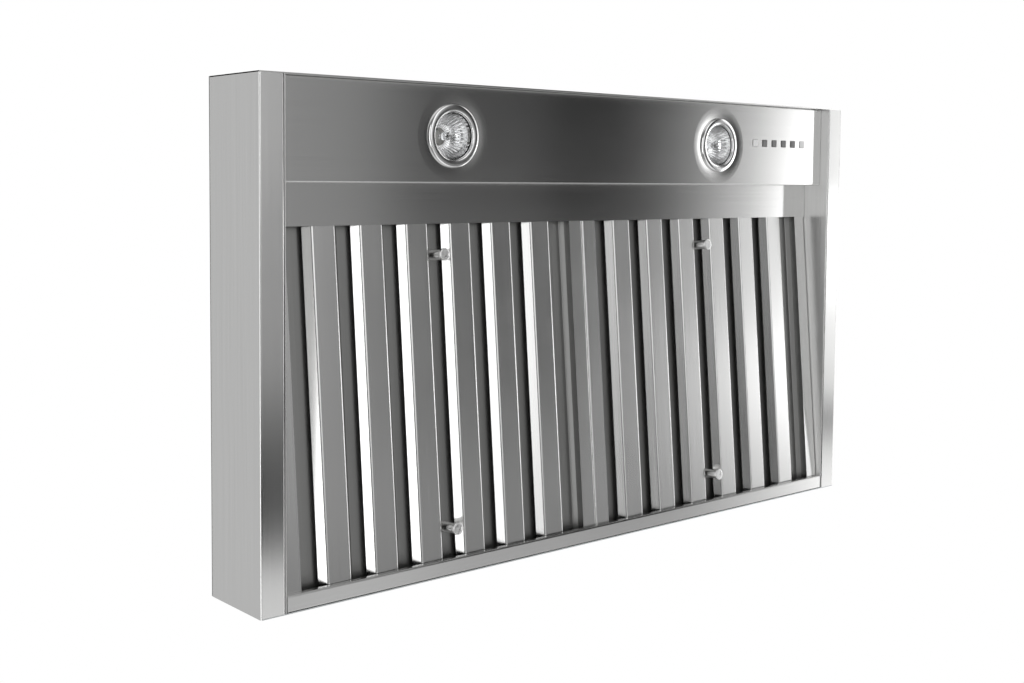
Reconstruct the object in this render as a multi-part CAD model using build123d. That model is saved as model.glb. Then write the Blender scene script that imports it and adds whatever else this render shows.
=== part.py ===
from build123d import *
from math import cos, hypot, pi, radians, sin, sqrt, tan
import os

os.makedirs("parts", exist_ok=True)

# Frame: X to the right of someone facing the wall, Y into the wall, Z up.
# The wall plane is Y = 0, the underside of the rim is Z = 0 and X = 0 is the middle.

# Canopy sheet metal
hood_width = 914.0
hood_depth = 521.0
rim_height = 96.0
pyramid_rise = 230.0
top_width = 310.0
top_depth = 280.0
skin = 1.2
bend_inside = 0.6
side_flange = 28.6
flange_return = 7.5
liner_seam = 0.3
liner_drop = 8.0
liner_lift = 0.3
join_flange = 20.0
top_plate_thickness = 1.5
top_flange = 24.0
end_gap = 0.3
overrun = 1.0

# Lamp and control panel, filter ledge and rear grease rail
panel_recess = 12.0
panel_run = 102.8
panel_front_flange = 18.0
ledge_run = 43.0
ledge_hidden = 12.0
ledge_front_flange = 14.0
cover_height = 84.0
cover_flange = 10.0
rail_width = 18.0
rail_lip = 6.3
rail_back_wall = 32.0
rail_end_gap = 0.8
seat_gap = 0.3

# Baffle filters
filter_tilt = 4.93
filter_wall_gap = 0.5
filter_mid_gap = 1.0
filter_front_reach = 28.0
filter_sheet = 0.8
filter_edge_radius = 1.6
filter_end_flange = 12.0
filter_lip = 8.0
filter_rail = 20.5
baffle_count = 6
baffle_width = 27.4
baffle_pitch = 58.9
baffle_flange = 8.0
baffle_lean = 41.0
baffle_bend = 3.2
baffle_spacing = 13.6
baffle_end_gap = 0.3

# Filter pull knobs
knob_front_inset = 61.5
knob_rear_inset = 44.5
knob_head_radius = 6.8
knob_neck_radius = 4.4
knob_head_length = 6.0
knob_cone_length = 9.0
knob_stand_off = 9.5
knob_dish_radius = 4.6
knob_dish_depth = 0.7
knob_slot_width = 1.4
knob_edge = 0.8
knob_dish_slope = 0.5

# Lamps
lamp_end_inset = 213.4
lamp_inset = 54.0
dish_radius = 47.5
dish_depth = 0.45
dish_floor = 34.0
ring_radius = 33.5
ring_bore = 28.0
ring_wall = 1.2
ring_proud = 3.0
ring_bevel = 1.2
ring_hole_gap = 0.3
ring_barrel_height = 17.0
ring_seat_height = 1.2
reflector_radius = 25.0
reflector_depth = 32.0
reflector_wall = 1.0
reflector_facets = 24
reflector_outline = [(25.0, 0.0), (25.0, 1.5), (23.6, 9.0), (20.6, 15.5), (15.6, 20.8), (9.0, 24.0)]
lens_thickness = 1.6
lamp_fit = 0.3
capsule_radius = 4.2
capsule_length = 17.0
capsule_tip_radius = 2.5
capsule_tip_height = 0.6
capsule_shoulder = 3.0
capsule_pinch_radius = 2.1
capsule_pinch_height = 3.0
capsule_pinch_slope = 2.0
socket_width = 20.0
socket_depth = 14.0
socket_height = 15.0
socket_bevel = 1.5
clip_width = 9.0
clip_sheet = 0.6
clip_reach = 2.8
clip_foot = 2.0
clip_bend_height = 9.0
clip_end_inset = 1.0
clip_bend = 0.6

# Push buttons and their board
button_count = 6
button_pitch = 19.7
button_end_inset = 42.9
button_inset = 49.5
button_size = 8.6
button_edge = 0.6
button_gap = 0.3
button_proud = 1.2
button_collar = 1.1
button_collar_height = 0.9
button_stem_radius = 1.6
button_stem_length = 4.0
button_travel = 0.8
switch_width = 6.0
switch_body_height = 2.4
switch_plunger_height = 1.0
board_thickness = 1.6
board_width = 26.0
board_margin = 12.0
carrier_wall = 2.0
carrier_end_lip = 6.0
carrier_side_lip = 4.0
carrier_edge = 0.8

# Duct collar and butterfly damper
duct_radius = 75.0
duct_back = 148.0
collar_wall = 0.8
collar_height = 62.0
collar_flange_radius = 92.0
collar_screw_circle = 84.0
collar_bead = 2.0
bead_top_slope = 0.6
bead_face = 0.8
bead_low_slope = 1.0
damper_height = 20.0
pin_radius = 2.0
pin_fit = 0.08
knuckle_wall = 1.2
flap_sheet = 0.8
flap_edge_gap = 1.0
flap_root_gap = 0.5
knuckle_length = 14.0
outer_knuckle_start = 40.0
inner_knuckle_start = 8.0

# Blower
wheel_radius = 70.0
wheel_length = 136.0
wheel_blade_depth = 11.0
wheel_blade_sheet = 0.9
wheel_ring = 1.6
wheel_ring_proud = 0.8
wheel_plate_inset = 0.4
wheel_plate_bore = 10.0
wheel_hub_radius = 12.0
wheel_hub_length = 22.0
blade_count = 30
blade_sweep = 5.0
blade_bow_out = 1.6
blade_bow_side = 0.6
blade_end_skew = 0.3
blade_bow_skew = 0.5
scroll_start_radius = 77.0
scroll_step = 8.0
scroll_width = 158.0
scroll_sheet = 1.2
scroll_axis_height = 198.0
scroll_tongue = 5.0
outlet_transition = 26.0
inlet_radius = 58.0
inlet_lip = 7.0
inlet_flange = 12.0
inlet_sheet = 1.2
inlet_bell = 2.0
inlet_bell_depth = 1.0
motor_radius = 42.0
motor_length = 62.0
motor_gap = 3.0
motor_bevel = 4.0
shaft_radius = 4.0
shaft_fit = 0.05
shaft_share = 0.6
shaft_end_gap = 0.6
shaft_proud = 2.0
arm_count = 3
arm_width = 12.0
arm_sheet = 2.0
arm_end_inset = 1.0
arm_band_gap = 0.4
band_width = 14.0
capacitor_radius = 16.0
capacitor_length = 58.0
capacitor_margin = 5.0
capacitor_bevel = 1.5

# Electrics and fixings
transformer_length = 96.0
transformer_width = 44.0
transformer_height = 30.0
transformer_edge = 2.0
box_width = 120.0
box_height = 84.0
box_depth = 46.0
box_sheet = 1.2
box_end_inset = 157.0
box_floor = 74.0
terminal_length = 60.0
terminal_depth = 16.0
terminal_height = 16.0
terminal_rise = 30.0
terminal_ways = 5
terminal_hole_radius = 2.2
terminal_hole_depth = 8.0
gland_radius = 11.0
gland_bore = 6.0
gland_neck_radius = 9.0
gland_tail = 8.0
gland_flange = 3.0
gland_flange_height = 5.0
gland_shoulder = 7.0
gland_taper = 2.0
gland_height = 18.0
gland_offset = 118.0
gland_back = 40.0
wall_hole_radius = 4.0
wall_hole_spacing = 380.0
wall_hole_low = 60.0
wall_hole_rise = 150.0
chimney_hole_radius = 2.2
chimney_spacing_x = 286.0
chimney_spacing_y = 250.0
screw_radius = 2.0
screw_head_radius = 3.8
screw_head_height = 2.0
screw_head_edge = 0.9
screw_shank = 8.0
screw_fit = 0.1
screw_edge = 12.0
rim_screw_ys = [-80.0, -260.0, -440.0]
rim_screw_xs = [-274.0, 0.0, 274.0]

# Derived lines of the canopy
half_width = hood_width / 2
inner_half = half_width - side_flange
top_level = rim_height + pyramid_rise
front_inside = -hood_depth + skin
panel_rear = front_inside + panel_run
ledge_front = panel_rear - ledge_hidden
ledge_rear = panel_rear + ledge_run
side_slope = (half_width - top_width / 2) / pyramid_rise
front_slope = (hood_depth - top_depth) / pyramid_rise
side_offset = skin * sqrt(1 + side_slope ** 2)
front_offset = skin * sqrt(1 + front_slope ** 2)

# Derived lines of the filter seat
tilt = radians(filter_tilt)
filter_height = baffle_spacing + 3 * filter_sheet
filter_rear_y = -2 * skin - seat_gap - filter_height * sin(tilt)
seat_y = -(rail_width - skin)
seat_z = rail_lip + seat_gap
filter_front_y = ledge_rear - filter_front_reach
filter_rear_z = seat_z - (filter_rear_y - seat_y) * tan(tilt)
filter_length = (filter_rear_y - filter_front_y) / cos(tilt)
filter_width = inner_half - filter_wall_gap - filter_mid_gap / 2
baffle_row = (baffle_count - 1) * baffle_pitch + baffle_width
rail_gap = (filter_width - baffle_row) / 2 - filter_rail
ledge_top = seat_z + (seat_y - ledge_rear) * tan(tilt) - seat_gap
ledge_bottom = ledge_top - skin

# Derived lines of the lamps, buttons, duct and blower
panel_top = panel_recess + skin
lamp_offset = inner_half - lamp_end_inset
lamp_y = -hood_depth + lamp_inset
lamp_level = panel_recess + dish_depth
button_first = inner_half - button_end_inset - (button_count - 1) * button_pitch
button_y = -hood_depth + button_inset
box_offset = half_width - box_end_inset
duct_y = -duct_back
collar_base = top_level + top_plate_thickness
damper_z = collar_base + damper_height
scroll_front_radius = scroll_start_radius + 3 * scroll_step
scroll_y = duct_y + (scroll_front_radius + scroll_tongue) / 2
scroll_z = scroll_axis_height
outlet_z = top_level - outlet_transition
switch_height = switch_body_height + switch_plunger_height
stem_top = panel_top + button_gap + button_collar_height + button_stem_length
switch_low = stem_top + button_travel + button_gap
shaft_depth = motor_length * shaft_share


def block(x_low, x_high, y_low, y_high, z_low, z_high):
    size = Box(x_high - x_low, y_high - y_low, z_high - z_low)
    return Pos((x_low + x_high) / 2, (y_low + y_high) / 2, (z_low + z_high) / 2) * size


def rod(radius, start, direction, length):
    return extrude(Plane(origin=start, z_dir=direction) * Circle(radius), length)


def offset_path(points, distance):
    """The same bent line, moved to its left by the sheet's thickness."""
    headings = []
    for here, there in zip(points, points[1:]):
        run = hypot(there[0] - here[0], there[1] - here[1])
        headings.append(((there[0] - here[0]) / run, (there[1] - here[1]) / run))
    normals = [(-dy, dx) for dx, dy in headings]
    moved = [(points[0][0] + distance * normals[0][0], points[0][1] + distance * normals[0][1])]
    for corner, before, after in zip(points[1:-1], normals, normals[1:]):
        share = distance / (1 + before[0] * after[0] + before[1] * after[1])
        across = (before[0] + after[0], before[1] + after[1])
        moved.append((corner[0] + share * across[0], corner[1] + share * across[1]))
    moved.append((points[-1][0] + distance * normals[-1][0], points[-1][1] + distance * normals[-1][1]))
    turns = [before[0] * after[1] - before[1] * after[0] for before, after in zip(headings, headings[1:])]
    return moved, turns


def folded(points, thickness=skin, inside=bend_inside):
    """Section of a sheet folded along points, with the metal on the left of the path."""
    moved, turns = offset_path(points, thickness)
    near = [inside + thickness if turn > 0 else inside for turn in turns]
    far = [inside if turn > 0 else inside + thickness for turn in turns]
    face_line = FilletPolyline(*points, radius=near)
    back_line = FilletPolyline(*moved, radius=far)
    caps = [Line(points[0], moved[0]), Line(points[-1], moved[-1])]
    return make_face(face_line.edges() + back_line.edges() + caps)


def run_along_x(section, x_low, x_high):
    """A section drawn as (Y, Z), extruded from x_low to x_high."""
    plane = Plane(origin=(x_low, 0, 0), x_dir=(0, 1, 0), z_dir=(1, 0, 0))
    return extrude(plane * section, x_high - x_low)


def run_along_y(section, y_low, y_high):
    """A section drawn as (X, Z), extruded from y_low to y_high."""
    plane = Plane(origin=(0, y_high, 0), x_dir=(1, 0, 0), z_dir=(0, -1, 0))
    return extrude(plane * section, y_high - y_low)


def turned(points, x=0.0, y=0.0):
    """A round piece from its (radius, Z) outline, on a vertical axis at x, y."""
    outline = make_face(Polyline(*points, close=True))
    return Pos(x, y, 0) * revolve(Plane.XZ * outline, Axis.Z)


def mirrored(shape):
    return mirror(shape, Plane.YZ)


def save(node, shape):
    export_step(shape, f"parts/{node}.step")


def screw_down(x, y, z):
    """A pan-head screw whose head sits on the face at z and whose shank goes down."""
    head = Pos(x, y, z + screw_head_height / 2) * Cylinder(screw_head_radius, screw_head_height)
    head = chamfer(head.edges().group_by(Axis.Z)[-1], screw_head_edge)
    shank = rod(screw_radius, (x, y, z), (0, 0, -1), screw_shank)
    return head + shank


# Canopy panels

def rim_screw_places():
    side_x = half_width - skin - screw_edge
    places = [(sign * side_x, y) for sign in (-1, 1) for y in rim_screw_ys]
    places += [(x, front_inside + screw_edge) for x in rim_screw_xs]
    return places


def rim_screw_holes():
    radius = screw_radius + screw_fit
    return [rod(radius, (x, y, rim_height - 2 * skin), (0, 0, 1), 4 * skin) for x, y in rim_screw_places()]


def side_panel():
    return_face = inner_half + skin + liner_seam
    section = folded([
        (return_face, flange_return),
        (return_face, 0),
        (half_width, 0),
        (half_width, rim_height),
        (half_width - skin - join_flange, rim_height),
    ])
    panel = run_along_y(section, front_inside, 0)
    panel -= block(0, half_width - skin, -skin, overrun, -overrun, rim_height + overrun)
    return panel - rim_screw_holes()


def front_panel():
    section = folded([
        (front_inside + join_flange, rim_height),
        (-hood_depth, rim_height),
        (-hood_depth, 0),
    ])
    panel = run_along_x(section, -half_width, half_width)
    corner = half_width - skin - join_flange - end_gap
    for sign in (-1, 1):
        low, high = sorted((sign * corner, sign * (half_width + overrun)))
        panel -= block(low, high, front_inside, 0, rim_height / 2, rim_height + overrun)
    return panel - rim_screw_holes()


def frustum(inset_x, inset_y, back, z_low, z_high):
    """The pyramid's solid between two levels, its sloped faces moved in by the insets."""
    wide, deep = [], []
    for z in (z_low, z_high):
        wide.append(half_width - side_slope * (z - rim_height) - inset_x)
        deep.append(hood_depth - front_slope * (z - rim_height) - inset_y)
    seen_from_front = make_face(Polyline(
        (-wide[0], z_low), (wide[0], z_low), (wide[1], z_high), (-wide[1], z_high), close=True))
    seen_from_side = make_face(Polyline(
        (-deep[0], z_low), (back, z_low), (back, z_high), (-deep[1], z_high), close=True))
    return run_along_y(seen_from_front, -deep[0], back) & run_along_x(seen_from_side, -wide[0], wide[0])


def pyramid_shell():
    outer = frustum(0, 0, 0, rim_height, top_level)
    inner = frustum(side_offset, front_offset, overrun, rim_height - overrun, top_level + overrun)
    shell = outer - inner
    reach = half_width - skin - join_flange
    edge = half_width - skin
    bottom_ring = block(-edge, edge, front_inside, -skin, rim_height, rim_height + skin)
    bottom_ring &= outer
    bottom_ring -= block(-reach, reach, front_inside + join_flange, 0, 0, top_level)
    top_ring = block(-half_width, half_width, -hood_depth, -skin, top_level - skin, top_level) & outer
    top_reach = top_width / 2 - top_flange
    top_ring -= block(-top_reach, top_reach, -top_depth + top_flange, 0, 0, top_level + overrun)
    return (shell + bottom_ring + top_ring) - rim_screw_holes() - chimney_holes()


def wall_hole_places():
    return [(sign * wall_hole_spacing / 2, wall_hole_low + step * wall_hole_rise)
            for sign in (-1, 1) for step in (0, 1)]


def rear_panel():
    edge = half_width - skin
    shoulder = half_width - side_offset
    crown = top_width / 2 - side_offset
    outline = make_face(Polyline(
        (-edge, 0), (edge, 0), (edge, rim_height), (shoulder, rim_height), (crown, top_level),
        (-crown, top_level), (-shoulder, rim_height), (-edge, rim_height), close=True))
    panel = run_along_y(outline, -skin, 0)
    for x, z in wall_hole_places():
        panel -= rod(wall_hole_radius, (x, overrun, z), (0, -1, 0), skin + 2 * overrun)
    return panel


def chimney_hole_places():
    middle_y = -top_depth / 2
    return [(sx * chimney_spacing_x / 2, middle_y + sy * chimney_spacing_y / 2)
            for sx in (-1, 1) for sy in (-1, 1)]


def collar_screw_places():
    return [(collar_screw_circle * cos(radians(45 + 90 * k)),
             duct_y + collar_screw_circle * sin(radians(45 + 90 * k))) for k in range(4)]


def collar_screw_holes():
    radius = screw_radius + screw_fit
    return [rod(radius, (x, y, top_level - 3 * skin), (0, 0, 1), 6 * skin) for x, y in collar_screw_places()]


def chimney_holes():
    low = top_level - 2 * skin
    return [rod(chimney_hole_radius, (x, y, low), (0, 0, 1), 4 * skin) for x, y in chimney_hole_places()]


def top_plate():
    plate = block(-top_width / 2, top_width / 2, -top_depth, 0, top_level, collar_base)
    low = top_level - overrun
    cut = top_plate_thickness + 2 * overrun
    plate -= rod(duct_radius - collar_wall, (0, duct_y, low), (0, 0, 1), cut)
    plate -= rod(gland_neck_radius, (gland_offset, -gland_back, low), (0, 0, 1), cut)
    return plate - collar_screw_holes() - chimney_holes()


def side_liner():
    """The bright inner wall of the rim, which hangs just inside the side flange's return."""
    liner_top = rim_height - liner_drop
    section = folded([
        (half_width - skin, liner_top),
        (inner_half, liner_top),
        (inner_half, liner_lift),
    ])
    return run_along_y(section, front_inside, -skin)


# Lamp panel, ledge, cover and rear rail

def lamp_places():
    return [(-lamp_offset, lamp_y), (lamp_offset, lamp_y)]


def button_places():
    return [(button_first + k * button_pitch, button_y) for k in range(button_count)]


def lamp_dish(x, y, level):
    """The shallow dish pressed up into the panel where a lamp ring seats, above the given level."""
    top = level + dish_depth
    bow = ((dish_radius - dish_floor) ** 2 + dish_depth ** 2) / (2 * dish_depth)
    slope = RadiusArc((dish_radius, level), (dish_floor, top), bow)
    rest = Polyline((dish_floor, top), (0, top), (0, level), (dish_radius, level))
    return Pos(x, y, 0) * revolve(Plane.XZ * make_face(slope.edges() + rest.edges()), Axis.Z)


def light_panel():
    section = folded([
        (front_inside, panel_recess + panel_front_flange),
        (front_inside, panel_recess),
        (panel_rear, panel_recess),
        (panel_rear, ledge_bottom),
    ])
    panel = run_along_x(section, -inner_half + end_gap, inner_half - end_gap)
    hole = ring_bore + ring_wall + ring_hole_gap
    for x, y in lamp_places():
        panel += lamp_dish(x, y, panel_top)
        panel -= lamp_dish(x, y, panel_recess)
        panel -= rod(hole, (x, y, panel_recess - overrun), (0, 0, 1), skin + dish_depth + 2 * overrun)
    window = button_size + 2 * button_gap
    for x, y in button_places():
        panel -= Pos(x, y, panel_recess) * Box(window, window, 4 * skin)
    return panel


def filter_ledge():
    section = folded([
        (ledge_front, ledge_bottom + ledge_front_flange),
        (ledge_front, ledge_bottom),
        (ledge_rear, ledge_bottom),
    ])
    return run_along_x(section, -inner_half + end_gap, inner_half - end_gap)


def compartment_cover():
    wall = ledge_front - skin
    section = folded([
        (front_inside, cover_height + cover_flange),
        (front_inside, cover_height),
        (wall, cover_height),
        (wall, ledge_bottom),
    ])
    return run_along_x(section, -inner_half + end_gap, inner_half - end_gap)


def grease_rail():
    section = folded([
        (-rail_width, rail_lip),
        (-rail_width, 0),
        (-skin, 0),
        (-skin, rail_back_wall),
    ])
    reach = inner_half - rail_end_gap
    return run_along_x(section, -reach, reach)


# Baffle filters, drawn flat with Y = 0 at the rear end and Z = 0 at the visible face

def place_filter(shape, side):
    middle = side * (filter_mid_gap / 2 + filter_width / 2)
    plane = Plane(origin=(middle, filter_rear_y, filter_rear_z), x_dir=(1, 0, 0),
                  z_dir=(0, sin(tilt), cos(tilt)))
    return plane.location * shape


def filter_frame():
    half = filter_width / 2
    frame = block(-half, half, -filter_length, 0, 0, filter_height)
    frame = fillet(frame.edges().filter_by(Axis.Y).group_by(Axis.Z)[0], filter_edge_radius)
    frame -= block(-half + filter_sheet, half - filter_sheet, -filter_length + filter_sheet, -filter_sheet,
                   filter_sheet, filter_height - filter_sheet)
    mouth = half - filter_rail
    frame -= block(-mouth, mouth, -filter_length + filter_end_flange, -filter_end_flange,
                   -overrun, filter_height + overrun)
    for sign in (-1, 1):
        low, high = sorted((sign * mouth, sign * (mouth + filter_sheet)))
        frame += block(low, high, -filter_length + filter_sheet, -filter_sheet, 0, filter_sheet + filter_lip)
    return frame


def baffle():
    """A folded trough with leaning sides, open towards +Z, as long as the frame's inside."""
    half = baffle_width / 2
    rim = half + baffle_flange * tan(radians(baffle_lean))
    section = folded([(-rim, baffle_flange), (-half, 0), (half, 0), (rim, baffle_flange)], filter_sheet,
                     baffle_bend - filter_sheet)
    inset = filter_sheet + baffle_end_gap
    return run_along_y(section, -filter_length + inset, -inset)


def front_baffles():
    first = -(baffle_row - baffle_width) / 2
    piece = Pos(0, 0, filter_sheet) * baffle()
    return [Pos(first + k * baffle_pitch, 0, 0) * piece for k in range(baffle_count)]


def rear_baffles():
    """The same troughs turned over, one behind each gap, so that the smoke has to turn twice."""
    middle = (baffle_count - 2) / 2
    places = [(k - middle) * baffle_pitch for k in range(baffle_count - 1)]
    places += [sign * (baffle_row + rail_gap) / 2 for sign in (-1, 1)]
    piece = Pos(0, 0, filter_height - filter_sheet) * mirror(baffle(), Plane.XY)
    return [Pos(x, 0, 0) * piece for x in sorted(places)]


def knob():
    """A turned pull that stands on a rear baffle and comes out between two front ones."""
    root = filter_height - 2 * filter_sheet
    face = filter_sheet - knob_stand_off
    waist = face + knob_head_length + knob_cone_length
    body = turned([
        (0, root), (knob_neck_radius, root), (knob_neck_radius, waist),
        (knob_head_radius, face + knob_head_length), (knob_head_radius, face + knob_edge),
        (knob_head_radius - knob_edge, face), (knob_dish_radius, face),
        (knob_dish_radius - knob_dish_slope, face + knob_dish_depth), (0, face + knob_dish_depth)])
    slot = block(-knob_dish_radius, knob_dish_radius, -knob_slot_width / 2, knob_slot_width / 2,
                 face - overrun, face + 2 * knob_dish_depth)
    return body - slot


def knobs():
    return [Pos(0, y, 0) * knob() for y in (-filter_length + knob_front_inset, -knob_rear_inset)]


# Lamps

def trim_ring(x, y):
    low = lamp_level - ring_proud
    barrel_top = lamp_level + skin + ring_barrel_height
    seat = lamp_level + lens_thickness
    outline = make_face(Polyline(
        (ring_bore, barrel_top), (ring_bore + ring_wall, barrel_top), (ring_bore + ring_wall, lamp_level),
        (ring_radius, lamp_level), (ring_radius, low), (ring_bore, low), (ring_bore, seat),
        (reflector_radius + lamp_fit, seat), (reflector_radius + lamp_fit, seat + ring_seat_height),
        (ring_bore, seat + ring_seat_height), close=True))
    outline = chamfer(outline.vertices().group_by(Axis.Y)[0], ring_bevel)
    return Pos(x, y, 0) * revolve(Plane.XZ * outline, Axis.Z)


def faceted(levels, centre_x, centre_y, base):
    """A solid of flat facets round an upright axis, from its (radius, height) levels."""
    rings = []
    for radius, height in levels:
        rings.append([(centre_x + radius * cos(2 * pi * k / reflector_facets),
                       centre_y + radius * sin(2 * pi * k / reflector_facets), base + height)
                      for k in range(reflector_facets)])
    faces = [Face(Wire.make_polygon(ring, close=True)) for ring in (rings[0], rings[-1])]
    for lower, upper in zip(rings, rings[1:]):
        for k in range(reflector_facets):
            nxt = (k + 1) % reflector_facets
            faces.append(Face(Wire.make_polygon([lower[k], lower[nxt], upper[nxt], upper[k]], close=True)))
    return Solid(Shell(faces))


def reflector(x, y):
    """A faceted glass bowl, with a short neck that the socket grips."""
    mouth = lamp_level + lens_thickness
    neck_top = (reflector_outline[-1][0], reflector_depth)
    outer = faceted(reflector_outline + [neck_top], x, y, mouth)
    inside, _ = offset_path(reflector_outline, reflector_wall)
    below = (inside[0][0], -overrun)
    inner = faceted([below] + inside[1:], x, y, mouth)
    return outer - inner


def lens(x, y):
    return rod(reflector_radius, (x, y, lamp_level), (0, 0, 1), lens_thickness)


def capsule(x, y):
    """The halogen capsule, standing in the bowl on its pinch."""
    top = lamp_level + lens_thickness + reflector_outline[-1][1] - 2 * reflector_wall
    low = top - capsule_length
    pinch = top - capsule_pinch_height
    return turned([
        (0, low), (capsule_tip_radius, low + capsule_tip_height), (capsule_radius, low + capsule_shoulder),
        (capsule_radius, pinch - capsule_pinch_slope), (capsule_pinch_radius, pinch),
        (capsule_pinch_radius, top), (0, top)], x, y)


def lamp_socket(x, y):
    base = lamp_level + lens_thickness + reflector_depth
    body = block(x - socket_width / 2, x + socket_width / 2, y - socket_depth / 2, y + socket_depth / 2,
                 base, base + socket_height)
    return chamfer(body.edges().group_by(Axis.Z)[-1], socket_bevel)


def lamp_clips():
    """Four leaf clips that pull the trim rings up against the panel."""
    return [clip_leaf(x, y, sign) for x, y in lamp_places() for sign in (-1, 1)]


def clip_leaf(x, y, sign):
    wall = ring_bore + ring_wall
    seat = lamp_level + skin
    points = [
        (wall, seat + ring_barrel_height - clip_end_inset),
        (wall, seat + clip_bend_height),
        (wall + clip_reach, seat),
        (wall + clip_reach + clip_foot, seat),
    ]
    leaf = run_along_y(folded(points, clip_sheet, clip_bend), -clip_width / 2, clip_width / 2)
    if sign < 0:
        leaf = mirrored(leaf)
    return Pos(x, y, 0) * leaf


# Buttons and their board

def button(x, y):
    rest = panel_top + button_gap
    cap = block(x - button_size / 2, x + button_size / 2, y - button_size / 2, y + button_size / 2,
                panel_recess - button_proud, rest)
    cap = fillet(cap.edges().group_by(Axis.Z)[0], button_edge)
    wide = button_size / 2 + button_collar
    collar = block(x - wide, x + wide, y - wide, y + wide, rest, rest + button_collar_height)
    stem = rod(button_stem_radius, (x, y, rest), (0, 0, 1), button_collar_height + button_stem_length)
    return cap + collar + stem


def switches():
    half = switch_width / 2
    pieces = []
    for x, y in button_places():
        body = block(x - half, x + half, y - half, y + half, switch_low + switch_plunger_height,
                     switch_low + switch_height)
        plunger = rod(button_stem_radius, (x, y, switch_low), (0, 0, 1), switch_plunger_height)
        pieces.append(body + plunger)
    return pieces


def board_span():
    last = button_first + (button_count - 1) * button_pitch
    return button_first - board_margin, last + board_margin


def control_board():
    low = switch_low + switch_height
    x_low, x_high = board_span()
    half = board_width / 2
    return block(x_low, x_high, button_y - half, button_y + half, low, low + board_thickness)


def board_carrier():
    """A moulded cradle whose two ends stand on the panel and hold the board by its edges."""
    low = switch_low + switch_height
    x_low, x_high = board_span()
    y_low = button_y - board_width / 2
    y_high = button_y + board_width / 2
    height = low + board_thickness + carrier_wall
    shell = block(x_low - carrier_wall, x_high + carrier_wall, y_low - carrier_wall, y_high + carrier_wall,
                  panel_top, height)
    shell -= block(x_low, x_high, y_low, y_high, panel_top - overrun, low + board_thickness)
    shell -= block(x_low + carrier_end_lip, x_high - carrier_end_lip, y_low + carrier_side_lip,
                   y_high - carrier_side_lip, low, height + overrun)
    return fillet(shell.edges().group_by(Axis.Z)[-1].filter_by(Axis.X), carrier_edge)


# Duct collar and damper

def duct_collar():
    inner = duct_radius - collar_wall
    stop = damper_z - flap_sheet / 2 - seat_gap
    bead_top = stop - bead_top_slope
    bead_low = bead_top - bead_face
    top = collar_base + collar_height
    collar = turned([
        (inner, collar_base), (collar_flange_radius, collar_base),
        (collar_flange_radius, collar_base + collar_wall), (duct_radius, collar_base + collar_wall),
        (duct_radius, top), (inner, top), (inner, stop), (inner - collar_bead, bead_top),
        (inner - collar_bead, bead_low), (inner, bead_low - bead_low_slope)], 0, duct_y)
    collar -= collar_screw_holes()
    reach = duct_radius + overrun
    collar -= rod(pin_radius, (-reach, duct_y, damper_z), (1, 0, 0), 2 * reach)
    return collar


def collar_screws():
    return [screw_down(x, y, collar_base + collar_wall) for x, y in collar_screw_places()]


def damper_pin():
    """The steel pin on which both flaps turn, flush with the collar so that a duct slides over."""
    return rod(pin_radius, (-duct_radius, duct_y, damper_z), (1, 0, 0), 2 * duct_radius)


def flap(forward, starts):
    """Half of the butterfly damper: forward is -1 for the front half and 1 for the rear one."""
    radius = duct_radius - collar_wall - flap_edge_gap
    knuckle = pin_radius + pin_fit + knuckle_wall
    root = knuckle + flap_root_gap
    reach = radius + overrun
    disc = Pos(0, duct_y, damper_z) * Cylinder(radius, flap_sheet)
    keep_low, keep_high = sorted((duct_y + forward * root, duct_y + forward * reach))
    plate = disc & block(-reach, reach, keep_low, keep_high, damper_z - flap_sheet, damper_z + flap_sheet)
    for start in starts:
        for sign in (-1, 1):
            low, high = sorted((sign * start, sign * (start + knuckle_length)))
            near, far = sorted((duct_y, duct_y + forward * (root + overrun)))
            plate += block(low, high, near, far, damper_z - flap_sheet / 2, damper_z + flap_sheet / 2)
            plate += rod(knuckle, (low, duct_y, damper_z), (1, 0, 0), high - low)
    return plate - rod(pin_radius + pin_fit, (-reach, duct_y, damper_z), (1, 0, 0), 2 * reach)


# Blower

def scroll_face(inset):
    """The volute's side view as (Y, Z): three quarter arcs, each one step wider, then the outlet."""
    first, second, third = [scroll_start_radius + k * scroll_step - inset for k in range(3)]
    y, z = scroll_y, scroll_z
    rear = y + first
    front = rear - second - third
    tongue = y - scroll_tongue - inset
    edges = [
        CenterArc((y, z), first, 0, 90),
        CenterArc((rear - second, z), second, -90, 90),
        CenterArc((rear - second, z - second + third), third, 180, 90),
        Line((front, z - second + third), (front, outlet_z)),
        Line((front, outlet_z), (tongue, outlet_z)),
        Line((tongue, outlet_z), (tongue, z + first)),
        Line((tongue, z + first), (y, z + first)),
    ]
    return make_face(edges)


def outlet_duct(inset):
    """The square-to-round piece between the volute and the top plate."""
    depth = scroll_front_radius - scroll_tongue
    return loft([
        Plane(origin=(0, duct_y, outlet_z)) * Rectangle(scroll_width - 2 * inset, depth - 2 * inset),
        Plane(origin=(0, duct_y, top_level)) * Circle(duct_radius - collar_wall - inset)])


def blower_housing():
    half = scroll_width / 2
    sheet = scroll_sheet
    shell = run_along_x(scroll_face(0), -half, half) + outlet_duct(0)
    flange = Pos(0, duct_y, top_level - sheet / 2) * Cylinder(collar_flange_radius, sheet)
    shell += flange
    shell -= run_along_x(scroll_face(sheet), -half + sheet, half - sheet)
    shell -= outlet_duct(sheet)
    for sign in (-1, 1):
        start = (sign * (half + overrun), scroll_y, scroll_z)
        shell -= rod(inlet_radius, start, (-sign, 0, 0), sheet + 2 * overrun)
    return shell - collar_screw_holes()


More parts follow.
